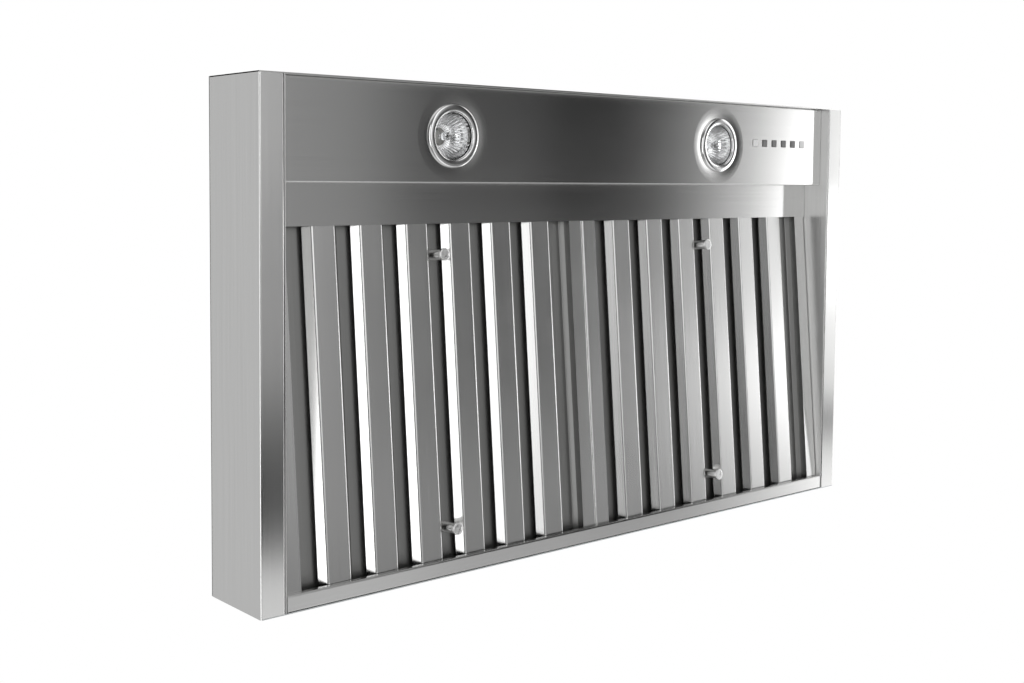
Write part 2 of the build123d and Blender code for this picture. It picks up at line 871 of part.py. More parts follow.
def inlet_ring(sign):
    """A bell mouth pressed into the housing's side, which guides the air into the wheel."""
    face = sign * scroll_width / 2
    rim = inlet_radius + inlet_flange
    throat = inlet_radius - inlet_sheet
    ring = turned([
        (inlet_radius, -inlet_lip), (inlet_radius, 0), (rim, 0), (rim, inlet_sheet),
        (inlet_radius + inlet_bell, inlet_sheet), (throat, -inlet_bell_depth), (throat, -inlet_lip)])
    return Plane(origin=(face, scroll_y, scroll_z), z_dir=(sign, 0, 0)).location * ring


def impeller():
    half = wheel_length / 2
    inner = wheel_radius - wheel_blade_depth
    plate_radius = wheel_radius - wheel_plate_inset
    wheel = Cylinder(plate_radius, wheel_ring) - Cylinder(wheel_plate_bore, wheel_ring + overrun)
    wheel += Cylinder(wheel_hub_radius, wheel_hub_length)
    for sign in (-1, 1):
        ring = Cylinder(wheel_radius + wheel_ring_proud, wheel_ring) - Cylinder(inner, wheel_ring + overrun)
        wheel += Pos(0, 0, sign * (half - wheel_ring / 2)) * ring
    start = (inner, 0)
    end = (wheel_radius, blade_sweep)
    bow = ((inner + wheel_radius) / 2 + blade_bow_out, blade_bow_side)
    back_start = (start[0] - blade_end_skew, start[1] + wheel_blade_sheet)
    back_bow = (bow[0] - blade_bow_skew, bow[1] + wheel_blade_sheet)
    back_end = (end[0] - wheel_blade_sheet, end[1] + blade_end_skew)
    outer_curve = ThreePointArc(start, bow, end)
    inner_curve = ThreePointArc(back_start, back_bow, back_end)
    caps = [Line(start, back_start), Line(end, back_end)]
    blade = Pos(0, 0, -half + wheel_ring / 2) * extrude(
        make_face(outer_curve.edges() + inner_curve.edges() + caps), wheel_length - wheel_ring)
    blades = [Rot(0, 0, 360 / blade_count * k) * blade for k in range(blade_count)]
    wheel = wheel + blades
    wheel -= Cylinder(shaft_radius, wheel_length)
    return Plane(origin=(0, scroll_y, scroll_z), z_dir=(1, 0, 0)).location * wheel


def motor_inner_face():
    return -wheel_hub_length / 2 - motor_gap


def motor_shaft():
    reach = wheel_hub_length / 2 + shaft_proud
    start = motor_inner_face() - shaft_depth
    return rod(shaft_radius, (start, scroll_y, scroll_z), (1, 0, 0), reach - start)


def blower_motor():
    face = motor_inner_face()
    body = rod(motor_radius, (face, scroll_y, scroll_z), (-1, 0, 0), motor_length)
    body = chamfer(body.edges().filter_by(GeomType.CIRCLE), motor_bevel)
    start = (face + overrun, scroll_y, scroll_z)
    return body - rod(shaft_radius + shaft_fit, start, (-1, 0, 0), overrun + shaft_depth + shaft_end_gap)


def motor_bracket():
    """A clamp band round the motor with three arms out to the left inlet ring."""
    outer_x = -scroll_width / 2 - inlet_sheet
    band_x = motor_inner_face() - motor_length
    reach = inlet_radius + inlet_flange - arm_end_inset
    bracket = rod(motor_radius + arm_sheet, (band_x, scroll_y, scroll_z), (1, 0, 0), band_width)
    bracket -= rod(motor_radius, (band_x - overrun, scroll_y, scroll_z), (1, 0, 0), band_width + 2 * overrun)
    arm = block(outer_x - arm_sheet, outer_x, -arm_width / 2, arm_width / 2, motor_radius, reach)
    arm += block(outer_x - arm_sheet, band_x + band_width, -arm_width / 2, arm_width / 2,
                 motor_radius + arm_band_gap, motor_radius + arm_sheet)
    for k in range(arm_count):
        bracket += Pos(0, scroll_y, scroll_z) * Rot(360 / arm_count * k + 90, 0, 0) * arm
    return bracket


def blower_capacitor():
    """The motor's run capacitor, on a stud in the housing's right side."""
    x = scroll_width / 2
    y = scroll_y - scroll_front_radius + capacitor_radius + capacitor_margin
    z = outlet_z - capacitor_radius - capacitor_margin
    can = rod(capacitor_radius, (x, y, z), (1, 0, 0), capacitor_length)
    return chamfer(can.edges().group_by(Axis.X)[-1], capacitor_bevel)


# Electrics

def lamp_transformer():
    body = block(-transformer_length / 2, transformer_length / 2, lamp_y - transformer_width / 2,
                 lamp_y + transformer_width / 2, panel_top, panel_top + transformer_height)
    return fillet(body.edges().group_by(Axis.Z)[-1], transformer_edge)


def wiring_box():
    """The folded steel box on the rear panel that holds the relays and the mains terminals."""
    x_low = box_offset - box_width / 2
    x_high = box_offset + box_width / 2
    outer = block(x_low, x_high, -skin - box_depth, -skin, box_floor, box_floor + box_height)
    inner = block(x_low + box_sheet, x_high - box_sheet, -skin - box_depth - overrun, -skin - box_sheet,
                  box_floor + box_sheet, box_floor + box_height - box_sheet)
    return outer - inner


def wiring_box_lid():
    x_low = box_offset - box_width / 2
    x_high = box_offset + box_width / 2
    y = -skin - box_depth
    return block(x_low, x_high, y - box_sheet, y, box_floor, box_floor + box_height)


def terminal_block():
    back = -skin - box_sheet
    front = back - terminal_depth
    z_low = box_floor + terminal_rise
    x_low = box_offset - terminal_length / 2
    pitch = terminal_length / terminal_ways
    strip = block(x_low, x_low + terminal_length, front, back, z_low, z_low + terminal_height)
    for k in range(terminal_ways):
        start = (x_low + (k + 0.5) * pitch, front - overrun, z_low + terminal_height / 2)
        strip -= rod(terminal_hole_radius, start, (0, 1, 0), overrun + terminal_hole_depth)
    return strip


def cable_gland():
    """A moulded strain relief in the top plate, open right through for the supply cord."""
    tail = collar_base - gland_tail
    top = collar_base + gland_height
    rim = gland_radius + gland_flange
    return turned([
        (gland_bore, tail), (gland_neck_radius, tail), (gland_neck_radius, collar_base), (rim, collar_base),
        (rim, collar_base + gland_flange_height), (gland_radius, collar_base + gland_shoulder),
        (gland_radius - gland_taper, top), (gland_bore, top)], gland_offset, -gland_back)


# The parts

panel = side_panel()
save("right_side_panel", panel)
save("left_side_panel", mirrored(panel))
liner = side_liner()
save("right_side_liner", liner)
save("left_side_liner", mirrored(liner))
save("front_panel", front_panel())
save("rear_panel", rear_panel())
save("pyramid_shell", pyramid_shell())
save("top_plate", top_plate())
save("rim_screws", Compound(children=[screw_down(x, y, rim_height + skin) for x, y in rim_screw_places()]))

save("light_panel", light_panel())
save("filter_ledge", filter_ledge())
save("compartment_cover", compartment_cover())
save("grease_rail", grease_rail())

frame_piece = filter_frame()
for name, side in (("left", -1), ("right", 1)):
    save(f"{name}_filter_frame", place_filter(frame_piece, side))
    save(f"{name}_front_baffles", Compound(children=[place_filter(s, side) for s in front_baffles()]))
    save(f"{name}_rear_baffles", Compound(children=[place_filter(s, side) for s in rear_baffles()]))
    save(f"{name}_filter_knobs", Compound(children=[place_filter(s, side) for s in knobs()]))

for name, (x, y) in zip(("left", "right"), lamp_places()):
    save(f"{name}_lamp_ring", trim_ring(x, y))
    save(f"{name}_lamp_reflector", reflector(x, y))
    save(f"{name}_lamp_lens", lens(x, y))
    save(f"{name}_lamp_capsule", capsule(x, y))
    save(f"{name}_lamp_socket", lamp_socket(x, y))
save("lamp_spring_clips", Compound(children=lamp_clips()))

for number, (x, y) in enumerate(button_places(), start=1):
    save(f"push_button_{number}", button(x, y))
save("tact_switches", Compound(children=switches()))
save("control_board", control_board())
save("board_carrier", board_carrier())

save("duct_collar", duct_collar())
save("collar_screws", Compound(children=collar_screws()))
save("damper_pin", damper_pin())
save("front_damper_flap", flap(-1, (outer_knuckle_start,)))
save("rear_damper_flap", flap(1, (inner_knuckle_start,)))

save("blower_housing", blower_housing())
save("left_inlet_ring", inlet_ring(-1))
save("right_inlet_ring", inlet_ring(1))
save("impeller", impeller())
save("motor_shaft", motor_shaft())
save("blower_motor", blower_motor())
save("motor_bracket", motor_bracket())
save("blower_capacitor", blower_capacitor())

save("lamp_transformer", lamp_transformer())
save("wiring_box", wiring_box())
save("wiring_box_lid", wiring_box_lid())
save("terminal_block", terminal_block())
save("cable_gland", cable_gland())
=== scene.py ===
import bmesh
import bpy
import math
from mathutils import Matrix, Vector


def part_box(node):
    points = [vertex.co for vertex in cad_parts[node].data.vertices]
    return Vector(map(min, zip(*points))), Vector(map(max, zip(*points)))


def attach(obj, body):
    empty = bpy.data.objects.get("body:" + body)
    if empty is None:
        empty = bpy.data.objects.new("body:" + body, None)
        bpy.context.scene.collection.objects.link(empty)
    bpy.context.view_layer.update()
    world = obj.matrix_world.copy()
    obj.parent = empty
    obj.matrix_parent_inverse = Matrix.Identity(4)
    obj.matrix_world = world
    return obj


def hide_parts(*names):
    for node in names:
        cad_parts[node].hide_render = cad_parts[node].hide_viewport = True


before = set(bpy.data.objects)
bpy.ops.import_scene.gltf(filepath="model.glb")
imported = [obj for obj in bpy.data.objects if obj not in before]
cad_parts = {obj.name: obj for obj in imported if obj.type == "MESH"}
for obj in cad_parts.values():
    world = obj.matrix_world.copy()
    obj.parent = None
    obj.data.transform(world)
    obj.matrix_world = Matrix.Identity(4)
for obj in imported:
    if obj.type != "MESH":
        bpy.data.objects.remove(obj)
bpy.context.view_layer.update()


# Canopy: side panels, front panel and pyramid of 1.2 mm stainless sheet, folded on a press brake and
# screwed together from inside. Each sheet was brushed along its length before it was folded, so its
# highlights stretch across the lines.
def shade(tree, kind, values=(), **settings):
    """A shader node with its settings, its inputs set to a value or joined to a socket."""
    made = tree.nodes.new("ShaderNode" + kind)
    for key, value in settings.items():
        setattr(made, key, value)
    for key, value in dict(values).items():
        if isinstance(value, bpy.types.NodeSocket):
            tree.links.new(value, made.inputs[key])
        else:
            made.inputs[key].default_value = value
    return made


def finish(name, colour, metallic, roughness):
    """A new material, its node tree and its surface shader."""
    material = bpy.data.materials.new(name)
    material.use_nodes = True
    surface = material.node_tree.nodes["Principled BSDF"]
    surface.inputs["Base Color"].default_value = (*colour, 1.0)
    surface.inputs["Metallic"].default_value = metallic
    surface.inputs["Roughness"].default_value = roughness
    return material, material.node_tree, surface


def grain_noise(tree, rates, detail=2.0, softness=0.5, lean=0.0):
    """Noise with a rate in each direction, in lines or specks per metre, on a sheet that leans forward."""
    place = shade(tree, "TexCoord").outputs["Object"]
    sizes = [1 / rate for rate in rates]
    stretched = shade(tree, "Mapping", {"Vector": place, "Scale": sizes, "Rotation": (-lean, 0.0, 0.0)},
                      vector_type="TEXTURE").outputs["Vector"]
    return shade(tree, "TexNoise", {"Vector": stretched, "Scale": 1.0, "Detail": detail,
                                    "Roughness": softness}).outputs["Fac"]


def spread(tree, source, low, high, least=0.3, most=0.7):
    """The middle of a noise's range, spread between two values."""
    return shade(tree, "MapRange", {"Value": source, "From Min": least, "From Max": most, "To Min": low,
                                    "To Max": high}).outputs["Result"]


def multiply(tree, first, second):
    return shade(tree, "Math", {0: first, 1: second}, operation="MULTIPLY").outputs["Value"]


def tint(tree, surface, colour, *tones):
    """The surface's colour, lighter and darker by the product of the tones."""
    tone = tones[0]
    for other in tones[1:]:
        tone = multiply(tree, tone, other)
    scaled = shade(tree, "VectorMath", {0: colour, "Scale": tone}, operation="SCALE").outputs["Vector"]
    tree.links.new(scaled, surface.inputs["Base Color"])


def relief(tree, surface, height, depth, strength):
    """Bumps up to that depth in metres on the surface."""
    bumps = shade(tree, "Bump", {"Height": height, "Distance": depth, "Strength": strength})
    tree.links.new(bumps.outputs["Normal"], surface.inputs["Normal"])


def brushed_steel(name, grain, colour=(0.62, 0.62, 0.615), roughness=0.3, stretch=0.85, streaks=0.04,
                  metal=1.0, bump=0.05):
    """Stainless sheet with its brush lines along the grain direction."""
    material, tree, surface = finish(name, colour, metal, roughness)
    surface.inputs["Anisotropic"].default_value = stretch
    lean = math.atan2(-grain[2], grain[1]) if grain[1] else 0.0
    lines = grain_noise(tree, [6.0 if share > 0.5 else 2400.0 for share in grain], 2.0, 0.6, lean)
    bands = grain_noise(tree, [1.2 if share > 0.5 else 420.0 for share in grain], 3.0, 0.6, lean)
    handling = grain_noise(tree, (11.0, 11.0, 11.0), 3.0, 0.55)
    tint(tree, surface, colour, spread(tree, lines, 1 - streaks, 1 + streaks),
         spread(tree, bands, 1 - streaks / 2, 1 + streaks / 2))
    worn = multiply(tree, spread(tree, lines, 0.93, 1.07), spread(tree, handling, 0.96, 1.04))
    tree.links.new(multiply(tree, worn, roughness), surface.inputs["Roughness"])
    relief(tree, surface, lines, 0.00002, bump)
    normal = shade(tree, "NewGeometry").outputs["Normal"]
    across = shade(tree, "VectorMath", {0: normal, 1: grain}, operation="CROSS_PRODUCT").outputs["Vector"]
    tree.links.new(across, surface.inputs["Tangent"])
    return material


def wear(material, *names):
    """Put the material on the CAD nodes of those names."""
    for name in names:
        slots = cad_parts[name].data.materials
        slots.clear()
        slots.append(material)


LENGTHWAYS = (1.0, 0.0, 0.0)
FRONT_TO_BACK = (0.0, 1.0, 0.0)
side_steel = brushed_steel("side_panel_steel", FRONT_TO_BACK, roughness=0.15, stretch=1.0)
wear(side_steel, "left_side_panel", "right_side_panel")
wear(brushed_steel("front_panel_steel", LENGTHWAYS), "front_panel")
wear(brushed_steel("pyramid_steel", LENGTHWAYS), "pyramid_shell")
wear(brushed_steel("side_liner_steel", FRONT_TO_BACK), "left_side_liner", "right_side_liner")


# Back and top: the rear panel, the top plate and the cover over the lamps' compartment are folded from
# galvanised sheet and screwed on. Its large zinc crystals show where nobody looks.
def galvanised_sheet(name, colour=(0.58, 0.6, 0.61), crystals=110.0):
    """Zinc-coated sheet, with so many crystals per metre."""
    material, tree, surface = finish(name, colour, 1.0, 0.42)
    place = shade(tree, "TexCoord").outputs["Object"]
    bend = grain_noise(tree, (60.0, 60.0, 60.0), 2.0)
    ragged = shade(tree, "VectorMath", {0: bend, 1: (0.01, 0.01, 0.01), 2: place}, operation="MULTIPLY_ADD")
    cells = shade(tree, "TexVoronoi", {"Vector": ragged.outputs["Vector"], "Scale": crystals,
                                       "Randomness": 1.0})
    facet = shade(tree, "SeparateColor", {"Color": cells.outputs["Color"]}).outputs["Red"]
    feather = grain_noise(tree, (900.0, 900.0, 300.0), 2.0)
    tint(tree, surface, colour, spread(tree, facet, 0.94, 1.05, 0.0, 1.0), spread(tree, feather, 0.97, 1.03))
    tree.links.new(spread(tree, facet, 0.36, 0.46, 0.0, 1.0), surface.inputs["Roughness"])
    relief(tree, surface, bend, 0.0001, 0.1)
    return material


wear(galvanised_sheet("galvanised_panel"), "rear_panel", "top_plate", "compartment_cover")


# Screws and spring parts: zinc-plated steel, turned or pressed and then plated, so they are bright with a
# slight blue cast and dull where they were handled. The damper's pin is plated like them.
def zinc_plate(name, colour=(0.72, 0.73, 0.74)):
    material, tree, surface = finish(name, colour, 1.0, 0.3)
    specks = grain_noise(tree, (700.0, 700.0, 700.0), 3.0)
    patches = grain_noise(tree, (90.0, 90.0, 90.0), 2.0)
    tint(tree, surface, colour, spread(tree, patches, 0.92, 1.05))
    tree.links.new(spread(tree, specks, 0.22, 0.4), surface.inputs["Roughness"])
    relief(tree, surface, specks, 0.00003, 0.15)
    return material


zinc = zinc_plate("zinc_plated_fixings")
wear(zinc, "rim_screws", "collar_screws", "lamp_spring_clips", "damper_pin")


# Light panel, filter ledge and grease rail: folded stainless sheet like the canopy's, brushed from end to
# end and left brighter. The panel has a shallow dish pressed round each lamp, and the ledge and the rail
# carry the filters.
panel_steel = brushed_steel("light_panel_steel", LENGTHWAYS, roughness=0.17, stretch=0.95, streaks=0.025)
ledge_steel = brushed_steel("ledge_steel", LENGTHWAYS, roughness=0.15, stretch=0.9, streaks=0.03)
rail_steel = brushed_steel("grease_rail_steel", LENGTHWAYS, roughness=0.2, stretch=0.9, streaks=0.04)
wear(panel_steel, "light_panel")
wear(ledge_steel, "filter_ledge")
wear(rail_steel, "grease_rail")


# Baffle filters: a folded frame of thin stainless sheet, with troughs that face each other in two rows, so
# that the smoke turns twice between them. The strip is brushed along the troughs. The rear row is the same
# steel, duller, with painted shade: its darker colour stands for the shade deep between the front troughs.
filter_lean = math.radians(4.93)
along_troughs = (0.0, math.cos(filter_lean), -math.sin(filter_lean))
front_strip = brushed_steel("filter_steel", along_troughs, (0.66, 0.66, 0.655), roughness=0.2, stretch=0.4,
                            streaks=0.03, bump=0.01)
# Painted shade: the rear row's darker colour stands for shade in the recess, not a different steel.
shaded_rear_strip = brushed_steel("rear_filter_steel_painted_shade", along_troughs, (0.3, 0.3, 0.295), roughness=0.36,
                           stretch=0.3, metal=0.9)
for side in ("left", "right"):
    wear(front_strip, f"{side}_filter_frame", f"{side}_front_baffles")
    wear(shaded_rear_strip, f"{side}_rear_baffles")


# Filter knobs: turned from aluminium bar, with a dished and slotted head on a thick straight neck, and fine
# marks from the tool round the axis. Each is riveted through a rear trough.
def turned_metal(name, colour=(0.74, 0.74, 0.735)):
    material, tree, surface = finish(name, colour, 1.0, 0.32)
    marks = grain_noise(tree, (300.0, 300.0, 2600.0), 3.0)
    patches = grain_noise(tree, (160.0, 160.0, 160.0), 2.0)
    tint(tree, surface, colour, spread(tree, marks, 0.93, 1.05), spread(tree, patches, 0.95, 1.04))
    tree.links.new(spread(tree, marks, 0.26, 0.4), surface.inputs["Roughness"])
    relief(tree, surface, marks, 0.00006, 0.3)
    return material


def round_rings(mesh, outline, place, steps):
    """A ring of corners for each (radius, height) in millimetres, on an axis that place moves and turns."""
    rings = []
    for radius, height in outline:
        ring = []
        for step in range(steps):
            turn = 2 * math.pi * step / steps
            spot = Vector((radius * math.cos(turn), radius * math.sin(turn), height)) / 1000
            ring.append(mesh.verts.new(place @ spot))
        rings.append(ring)
    return rings


def join_rings(mesh, rings):
    """Faces from each ring of corners to the next."""
    for near, far in zip(rings, rings[1:]):
        for here in range(len(near)):
            there = (here + 1) % len(near)
            mesh.faces.new((near[here], near[there], far[there], far[here]))


def solid_piece(name, mesh, material, crease=32.0):
    """A Blender object from the mesh, smooth except at edges that turn more than the crease."""
    bmesh.ops.recalc_face_normals(mesh, faces=mesh.faces)
    for face in mesh.faces:
        face.smooth = True
    for edge in mesh.edges:
        edge.smooth = edge.is_manifold and edge.calc_face_angle(0.0) < math.radians(crease)
    data = bpy.data.meshes.new(name)
    mesh.to_mesh(data)
    mesh.free()
    data.materials.append(material)
    piece = bpy.data.objects.new(name, data)
    bpy.context.scene.collection.objects.link(piece)
    return piece


def cut_slot(mesh, floor, place, half_width, depth):
    """A straight slot across a flat face, sunk along the axis that place gives. Millimetres."""
    across = place.to_3x3() @ Vector((0.0, 1.0, 0.0))
    strip = [floor]
    for way in (-1, 1):
        edge = place @ Vector((0.0, way * half_width / 1000, 0.0))
        parts = strip + [side for face in strip for side in face.edges]
        parts += [corner for face in strip for corner in face.verts]
        cut = bmesh.ops.bisect_plane(mesh, geom=list(dict.fromkeys(parts)), plane_co=edge, plane_no=across)
        faces = [part for part in cut["geom"] if isinstance(part, bmesh.types.BMFace)]
        strip = [face for face in faces if (face.calc_center_median() - edge).dot(across) * way < 0]
    pushed = bmesh.ops.extrude_face_region(mesh, geom=strip)["geom"]
    corners = [part for part in pushed if isinstance(part, bmesh.types.BMVert)]
    bmesh.ops.delete(mesh, geom=strip, context="FACES_ONLY")
    bmesh.ops.translate(mesh, verts=corners, vec=place.to_3x3() @ Vector((0.0, 0.0, depth / 1000)))


def add_knob(mesh, place, length):
    """One knob on an upright axis, with its head's rim at height 0. Millimetres."""
    head, neck, dish, dish_depth = 6.8, 5.7, 4.4, 0.6
    slot_half_width, slot_depth = 0.7, 0.8
    outline = [(dish, dish_depth), (dish + 0.4, 0.0), (head - 0.5, 0.0), (head - 0.15, 0.15), (head, 0.5),
               (head, 2.3), (head - 0.3, 2.75), (neck + 0.2, 2.95), (neck + 0.05, 3.4), (neck, 8.0),
               (neck - 0.2, length)]
    rings = round_rings(mesh, outline, place, 64)
    join_rings(mesh, rings)
    mesh.faces.new(rings[-1])
    cut_slot(mesh, mesh.faces.new(rings[0]), place, slot_half_width, slot_depth)


knob_metal = turned_metal("turned_knobs")
upright = Matrix.Rotation(-filter_lean, 4, "X")
for side in ("left", "right"):
    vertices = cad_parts[f"{side}_filter_knobs"].data.vertices
    points = [upright.inverted() @ vertex.co for vertex in vertices]
    halfway = sum(point.y for point in points) / len(points)
    knobs = bmesh.new()
    front = [point for point in points if point.y < halfway]
    rear = [point for point in points if point.y >= halfway]
    for knob_points in (front, rear):
        low = [min(point[axis] for point in knob_points) for axis in range(3)]
        high = [max(point[axis] for point in knob_points) for axis in range(3)]
        spot = Vector(((low[0] + high[0]) / 2, (low[1] + high[1]) / 2, low[2]))
        add_knob(knobs, upright @ Matrix.Translation(spot), (high[2] - low[2]) * 1000)
    knob_pair = solid_piece(f"{side}_knob_pair", knobs, knob_metal)
    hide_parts(f"{side}_filter_knobs")
    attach(knob_pair, f"{side}_filter")


# Lamp trims: spun and polished rings with a rolled edge, a nearly flat face and a narrow lip round the bulb.
# A round wire sprung into the lip holds the bulb's rim, and the ring's barrel passes through the panel.
def polished_ring(name, colour=(0.74, 0.74, 0.74)):
    material, tree, surface = finish(name, colour, 1.0, 0.14)
    marks = grain_noise(tree, (500.0, 500.0, 3000.0), 3.0)
    haze = grain_noise(tree, (60.0, 60.0, 60.0), 2.0)
    tint(tree, surface, colour, spread(tree, marks, 0.97, 1.02))
    tree.links.new(spread(tree, haze, 0.11, 0.17), surface.inputs["Roughness"])
    relief(tree, surface, marks, 0.00002, 0.1)
    return material


def oval_bend(middle, reach, first, last, steps):
    """Corners (radius, height) on part of an oval, from one angle to another in degrees."""
    corners = []
    for step in range(steps + 1):
        angle = math.radians(first + (last - first) * step / steps)
        corners.append((middle[0] + reach[0] * math.cos(angle), middle[1] + reach[1] * math.sin(angle)))
    return corners


def lowest_middle(name):
    """The middle of the node's underside."""
    low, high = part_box(name)
    return Vector(((low[0] + high[0]) / 2, (low[1] + high[1]) / 2, low[2]))


ring_radius, lip_radius, bore_radius, barrel_radius = 33.5, 25.8, 28.0, 29.2
flange_top, seat_height, barrel_top = 3.0, 5.8, 21.2
wire_radius, wire_height, wire_thickness = 25.3, 2.4, 0.4
around_ring = 96
ring_finish = polished_ring("polished_trim")
rolled_edge = [(ring_radius, 1.9), (33.35, 1.2), (32.95, 0.6), (32.4, 0.2), (31.8, 0.0)]
lip_bend = [(27.0, 0.21), (26.5, 0.3), (26.1, 0.6), (25.9, 1.1), (lip_radius, 2.7)]
barrel_walls = [(25.4, 2.95), (25.4, seat_height), (bore_radius, seat_height),
                (bore_radius, barrel_top), (barrel_radius, barrel_top)]
flange = [(barrel_radius, flange_top), (ring_radius, flange_top)]
trim_outline = flange + rolled_edge + lip_bend + barrel_walls
wire_outline = oval_bend((wire_radius, wire_height), (wire_thickness, wire_thickness), 0, 330, 11)


def spun_piece(name, outline, foot):
    """A closed ring of that section, fixed to the hood."""
    mesh = bmesh.new()
    rings = round_rings(mesh, outline, foot, around_ring)
    join_rings(mesh, rings + rings[:1])
    piece = solid_piece(name, mesh, ring_finish)
    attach(piece, "hood")
    return piece


for side in ("left", "right"):
    foot = Matrix.Translation(lowest_middle(f"{side}_lamp_ring"))
    trim = spun_piece(f"{side}_trim_ring", trim_outline, foot)
    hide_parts(f"{side}_lamp_ring")
    spun_piece(f"{side}_lamp_wire", wire_outline, foot)


# Bulbs: a pressed glass bowl with a mirror coating, fluted near its mouth and dimpled nearer its neck to
# spread the beam, closed by a clear front glass over a small quartz capsule in a ceramic holder.
def mirror_coating(name, colour=(0.88, 0.88, 0.88)):
    material, tree, surface = finish(name, colour, 1.0, 0.07)
    haze = grain_noise(tree, (240.0, 240.0, 240.0), 2.0)
    tint(tree, surface, colour, spread(tree, haze, 0.94, 1.03))
    tree.links.new(spread(tree, haze, 0.05, 0.1), surface.inputs["Roughness"])
    return material


def clear_glass(name, colour=(0.97, 0.975, 0.98)):
    material, tree, surface = finish(name, colour, 0.0, 0.0)
    surface.inputs["Transmission Weight"].default_value = 1.0
    surface.inputs["IOR"].default_value = 1.47
    smears = grain_noise(tree, (70.0, 70.0, 70.0), 3.0)
    tree.links.new(spread(tree, smears, 0.0, 0.03), surface.inputs["Roughness"])
    relief(tree, surface, smears, 0.00002, 0.05)
    return material


def ceramic_body(name, colour=(0.88, 0.87, 0.83)):
    material, tree, surface = finish(name, colour, 0.0, 0.7)
    grit = grain_noise(tree, (1500.0, 1500.0, 1500.0), 3.0)
    stains = grain_noise(tree, (80.0, 80.0, 80.0), 2.0)
    tint(tree, surface, colour, spread(tree, stains, 0.93, 1.02))
    tree.links.new(spread(tree, grit, 0.6, 0.8), surface.inputs["Roughness"])
    relief(tree, surface, grit, 0.00005, 0.3)
    return material


def dimpled_bowl(name, foot, material):
    """The bulb's glass bowl: flutes and dimples inside, smooth outside, with a neck. Millimetres."""
    flutes, flute_sides, rows, row_steps, fluted_rows = 36, 6, 6, 4, 5
    mouth, depth, wall, bulge_depth = 24.2, 24.8, 0.8, 0.24
    neck_bore, neck_radius, neck_top = 9.0, 10.0, 32.0
    neck_turn = 66
    mesh = bmesh.new()
    rings = []
    around = flutes * flute_sides
    for level in range(rows * row_steps + 1):
        turn = math.radians(neck_turn) * level / (rows * row_steps)
        row, part = divmod(level / row_steps, 1)
        dimpled = row >= fluted_rows
        dome = 1 - (2 * part - 1) ** 2 if dimpled else 1.0
        shift = 0.5 / flutes if dimpled and row % 2 else 0.0
        ring = []
        for step in range(around):
            share = (step % flute_sides) / flute_sides
            bulge = bulge_depth * (1 - (2 * share - 1) ** 2) * dome
            radius = (mouth - bulge) * math.cos(turn) / 1000
            height = (depth - bulge) * math.sin(turn) / 1000
            angle = 2 * math.pi * (step / around + shift)
            spot = Vector((radius * math.cos(angle), radius * math.sin(angle), height))
            ring.append(mesh.verts.new(foot + spot))
        rings.append(ring)
    outside = [(neck_bore, 24.0), (neck_bore, neck_top), (neck_radius, neck_top), (neck_radius, 25.0)]
    outside += oval_bend((0.0, 0.0), (mouth + wall, depth + wall), 60, 0, 10)
    rings += round_rings(mesh, outside, Matrix.Translation(foot), around)
    join_rings(mesh, rings + rings[:1])
    return solid_piece(name, mesh, material, 40.0)


coating = mirror_coating("bulb_mirror")
front_glass = clear_glass("bulb_glass")
wear(ceramic_body("ceramic_holder"), "left_lamp_socket", "right_lamp_socket")
wear(front_glass, "left_lamp_lens", "right_lamp_lens", "left_lamp_capsule", "right_lamp_capsule")
for side in ("left", "right"):
    bowl = dimpled_bowl(f"{side}_bulb_bowl", lowest_middle(f"{side}_lamp_reflector"), coating)
    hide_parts(f"{side}_lamp_reflector")
    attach(bowl, "hood")


# Push buttons: six square caps in a row through the light panel, moulded with their stems, the outer two in
# a pale plastic. Behind them the switches sit on a small printed board, in a moulded cradle that stands on
# the panel.
def moulded_plastic(name, colour, roughness):
    material, tree, surface = finish(name, colour, 0.0, roughness)
    grit = grain_noise(tree, (1800.0, 1800.0, 1800.0), 3.0)
    rub = grain_noise(tree, (50.0, 50.0, 50.0), 3.0)
    tint(tree, surface, colour, spread(tree, rub, 0.93, 1.06))
    tree.links.new(spread(tree, grit, roughness * 0.88, roughness * 1.12), surface.inputs["Roughness"])
    relief(tree, surface, grit, 0.00004, 0.2)
    return material


def printed_board(name, colour=(0.06, 0.22, 0.1)):
    material, tree, surface = finish(name, colour, 0.0, 0.32)
    place = shade(tree, "TexCoord").outputs["Object"]
    tracks = shade(tree, "TexBrick", {"Vector": place, "Scale": 260.0, "Mortar Size": 0.06,
                                      "Color1": (1, 1, 1, 1), "Color2": (0.9, 0.9, 0.9, 1),
                                      "Mortar": (1.7, 1.6, 1.2, 1)})
    tone = shade(tree, "RGBToBW", {"Color": tracks.outputs["Color"]}).outputs["Val"]
    tint(tree, surface, colour, tone)
    relief(tree, surface, tone, 0.00003, 0.3)
    return material


dark_caps = moulded_plastic("button_plastic", (0.15, 0.15, 0.15), 0.32)
pale_caps = moulded_plastic("pale_button_plastic", (0.74, 0.74, 0.74), 0.35)
wear(dark_caps, "push_button_2", "push_button_3", "push_button_4", "push_button_5")
wear(pale_caps, "push_button_1", "push_button_6")
wear(moulded_plastic("switch_plastic", (0.04, 0.04, 0.04), 0.45), "tact_switches")
wear(printed_board("solder_mask"), "control_board")
wear(moulded_plastic("cradle_plastic", (0.8, 0.8, 0.78), 0.5), "board_carrier")


# Duct collar and damper: galvanised sheet, spun and screwed to the top plate, with two half-round flaps that
# swing up on one pin when the fan blows and fall shut when it stops.
duct_sheet = galvanised_sheet("galvanised_duct", crystals=130.0)
wear(duct_sheet, "duct_collar", "front_damper_flap", "rear_damper_flap")


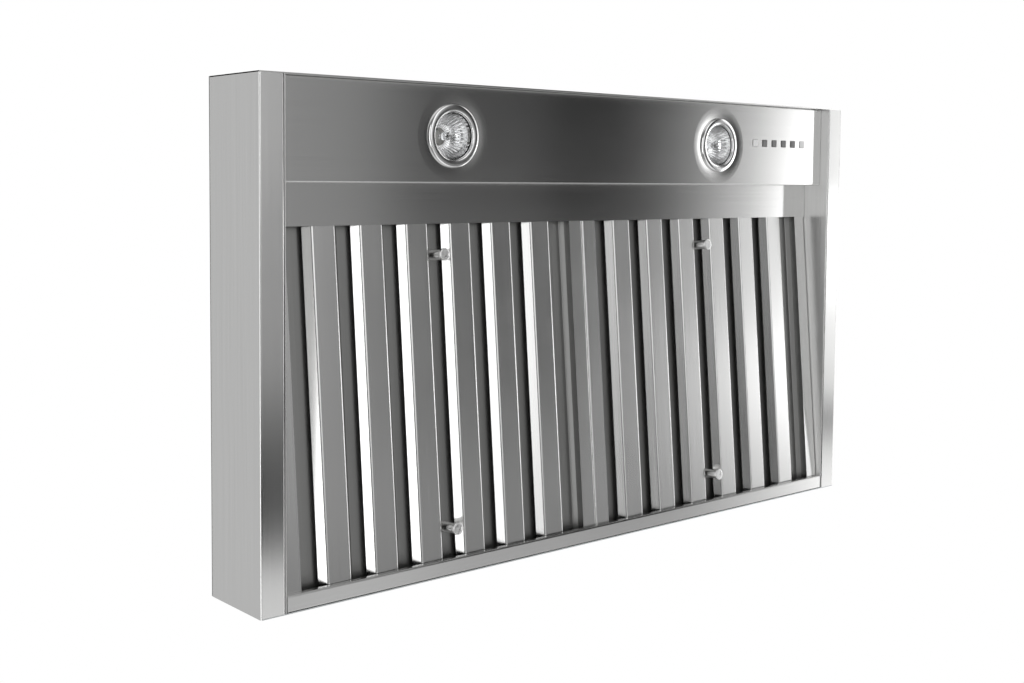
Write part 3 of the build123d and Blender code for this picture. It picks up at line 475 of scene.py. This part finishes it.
# Blower: a galvanised volute hung from the top plate, with a bladed wheel that its motor turns directly. The
# motor is enamelled, held in one inlet by a clamp band with three arms, and has its capacitor on the
# housing's side.
def enamel(name, colour=(0.1, 0.1, 0.11)):
    material, tree, surface = finish(name, colour, 0.0, 0.35)
    surface.inputs["Coat Weight"].default_value = 0.3
    peel = grain_noise(tree, (420.0, 420.0, 420.0), 2.0)
    dust = grain_noise(tree, (30.0, 30.0, 30.0), 4.0)
    tint(tree, surface, colour, spread(tree, dust, 0.9, 1.25))
    tree.links.new(spread(tree, dust, 0.3, 0.5), surface.inputs["Roughness"])
    relief(tree, surface, peel, 0.0001, 0.15)
    return material


blower_sheet = galvanised_sheet("galvanised_housing", crystals=120.0)
wear(blower_sheet, "blower_housing", "left_inlet_ring", "right_inlet_ring", "impeller")
wear(zinc, "motor_bracket", "motor_shaft", "blower_capacitor")
wear(enamel("motor_enamel"), "blower_motor")


# Electrics: a white moulded transformer for the lamps, a folded wiring box with its lid on the rear panel, a
# terminal strip inside it, and a black moulded gland in the top plate for the supply.
wear(moulded_plastic("transformer_plastic", (0.8, 0.8, 0.78), 0.45), "lamp_transformer", "terminal_block")
wear(galvanised_sheet("galvanised_box", crystals=130.0), "wiring_box", "wiring_box_lid")
wear(moulded_plastic("gland_plastic", (0.04, 0.04, 0.04), 0.5), "cable_gland")


# Studio: a white room without edges, with a soft lamp overhead. It is brighter low on the left and on the
# right, and darker behind the camera, so that the steel shows its bends. Seen directly, it is plain white.
world = bpy.data.worlds.new("studio")
bpy.context.scene.world = world
world.use_nodes = True
room = world.node_tree
outward = shade(room, "TexCoord").outputs["Generated"]
heading = shade(room, "SeparateXYZ", {0: outward})


def reckon(kind, first, second=0.0):
    """One step of arithmetic with two sockets or numbers."""
    return shade(room, "Math", {0: first, 1: second}, operation=kind).outputs["Value"]


def in_degrees(angle):
    return multiply(room, angle, 180 / math.pi)


# Where a ray goes, in degrees: to the right and to the rear of straight down, and up or down to the rear.
down = multiply(room, heading.outputs["Z"], -1.0)
sideways = in_degrees(reckon("ARCSINE", heading.outputs["X"]))
endways = in_degrees(reckon("ARCTAN2", heading.outputs["Y"], down))
lean = in_degrees(reckon("ARCSINE", heading.outputs["Y"]))


def levels(angle, stops):
    """Light level by angle, through stops of an angle in degrees and the level there."""
    brightest = 3.0
    place = shade(room, "MapRange", {"Value": angle, "From Min": -180.0, "From Max": 180.0})
    ramp = shade(room, "ValToRGB", {"Fac": place.outputs["Result"]})
    elements = ramp.color_ramp.elements
    while len(elements) < len(stops):
        elements.new(0.5)
    for element, (degrees, level) in zip(elements, stops):
        share = level / brightest
        element.position = (degrees + 180) / 360
        element.color = (share, share, share, 1)
    shares = shade(room, "RGBToBW", {"Color": ramp.outputs["Color"]}).outputs["Val"]
    return multiply(room, shares, brightest)


def soft_step(value, low, high):
    return shade(room, "MapRange", {"Value": value, "From Min": low, "From Max": high},
                 interpolation_type="SMOOTHSTEP").outputs["Result"]


low_left = levels(sideways, [(-90, 1.1), (-68, 1.6), (-65, 2.9), (-56.5, 2.9), (-54.5, 0.0), (180, 0.0)])
left_half = levels(sideways, [
    (-54.5, 0.0), (-53, 0.12), (-50, 0.16), (-43, 0.16), (-41, 0.12), (-28, 0.18), (-26, 0.5),
    (-20, 0.5), (-17, 0.9), (0, 1.05), (22, 0.95), (28, 0.5), (31.5, 0.0), (180, 0.0)])
along_left = levels(lean, [
    (-180, 1.0), (-6, 1.5), (-1, 1.35), (4.3, 0.75), (8.6, 0.6), (12.1, 0.15), (13.5, 0.02), (14.8, 0.0),
    (15.5, 0.1), (16.1, 1.4), (17.5, 0.6), (24, 0.5), (40, 0.7), (90, 0.75), (180, 1.0)])
middle = levels(sideways, [
    (-180, 0.0), (28, 0.0), (31.7, 0.35), (34.5, 0.33), (36, 0.24), (37, 0.12), (38, 0.08), (43.2, 0.06),
    (43.5, 0.0), (45.2, 0.0), (46, 0.02), (47, 0.05), (48, 0.1), (49, 0.2), (50, 0.33), (53, 0.3), (56, 0.0),
    (90, 0.0)])
along_middle = levels(endways, [
    (-180, 1.0), (3, 1.0), (7.5, 1.3), (9.5, 1.2), (13, 0.6), (16, 0.3), (17.5, 0.4), (19, 1.2), (90, 1.2),
    (180, 1.0)])
haze = levels(sideways, [
    (-180, 0.0), (35, 0.0), (38, 0.2), (44, 0.25), (50, 0.15), (56, 0.0), (180, 0.0)])
along_haze = levels(endways, [
    (-180, 0.0), (2, 0.0), (5, 0.5), (8, 1.0), (12, 1.0), (15, 0.3), (17, 0.3), (19, 0.6), (90, 0.3),
    (180, 0.0)])
right_wall = levels(sideways, [
    (-180, 0.0), (49, 0.0), (50, 0.1), (51, 0.27), (52, 0.38), (53, 0.95), (54, 2.2), (56, 2.8), (60, 2.8),
    (66, 0.9), (90, 0.8), (180, 0.0)])
along_right = levels(lean, [
    (-180, 1.0), (-3.5, 0.9), (0, 1.0), (1.3, 1.9), (3, 1.9), (4.6, 1.05), (6.9, 0.9), (8.6, 0.75),
    (9.2, 0.45), (9.8, 0.2), (10.5, 0.3), (11.1, 0.6), (13, 0.75), (90, 0.6), (180, 1.0)])
rear_glow = levels(endways, [
    (-180, 0.0), (18.6, 0.0), (19.5, 0.45), (26, 0.8), (32, 0.8), (42, 0.3), (90, 0.2), (110, 0.0),
    (180, 0.0)])
ceiling = levels(sideways, [
    (-180, 1.0), (-90, 1.1), (-60, 0.8), (-30, 0.7), (0, 0.72), (40, 0.7), (70, 0.8), (90, 1.1), (180, 1.0)])

floorward = reckon("ADD", rear_glow, low_left)
for width, length in ((left_half, along_left), (middle, along_middle), (haze, along_haze),
                      (right_wall, along_right)):
    floorward = reckon("ADD", floorward, multiply(room, width, length))
lamp_heading = (0.4, -0.1, 0.91)
lamp_level = 1.5
toward_lamp = shade(room, "VectorMath", {0: outward, 1: lamp_heading}, operation="DOT_PRODUCT")
overhead = multiply(room, soft_step(toward_lamp.outputs["Value"], 0.86, 0.96), lamp_level)
skyward = reckon("ADD", ceiling, overhead)
above = soft_step(down, 0.12, -0.08)
below = reckon("SUBTRACT", 1.0, above)
level = reckon("ADD", multiply(room, floorward, below), multiply(room, skyward, above))
seen = shade(room, "LightPath").outputs["Is Camera Ray"]
unseen = reckon("SUBTRACT", 1.0, seen)
background = room.nodes["Background"]
background.inputs["Color"].default_value = (1, 1, 1, 1)
room.links.new(reckon("ADD", multiply(room, level, unseen), seen), background.inputs["Strength"])
bpy.context.scene.view_settings.view_transform = "Standard"


# Floor: pale and plain, far enough below the hood to look up at its filters, where it only catches a soft
# shadow. The steel doesn't mirror it, because the photograph's studio had none there.
def pale_floor(name, colour=(0.86, 0.86, 0.86)):
    material, tree, surface = finish(name, colour, 0.0, 0.9)
    cloud = grain_noise(tree, (3.0, 3.0, 3.0), 2.0)
    tint(tree, surface, colour, spread(tree, cloud, 0.99, 1.01))
    return material


floor_radius, floor_drop = 30.0, 3.1
floor_mesh = bmesh.new()
bmesh.ops.create_circle(floor_mesh, cap_ends=True, segments=96, radius=floor_radius)
bmesh.ops.translate(floor_mesh, verts=floor_mesh.verts, vec=(0.0, 0.0, -floor_drop))
floor = solid_piece("studio_floor", floor_mesh, pale_floor("studio_floor"))
floor.visible_glossy = False
floor.visible_transmission = False


# Camera: below and to the left of the hood and rolled, so that the hood's front is at the top of the
# picture, as in the photograph, where the hood stands on its back.
stand = Matrix.Translation((-1.08927, -0.41863, -1.07028))
bearing = Matrix.Rotation(math.radians(-84.1495), 4, "Z")
climb = Matrix.Rotation(math.radians(140.4274), 4, "X")
roll = Matrix.Rotation(math.radians(-85.118), 4, "Z")
camera = bpy.data.objects.new("camera", bpy.data.cameras.new("camera"))
bpy.context.scene.collection.objects.link(camera)
bpy.context.scene.camera = camera
camera.matrix_world = stand @ bearing @ climb @ roll
camera.data.lens = 46.231
camera.data.shift_x = 0.04676
camera.data.shift_y = -0.07214
camera.data.clip_start = 0.05
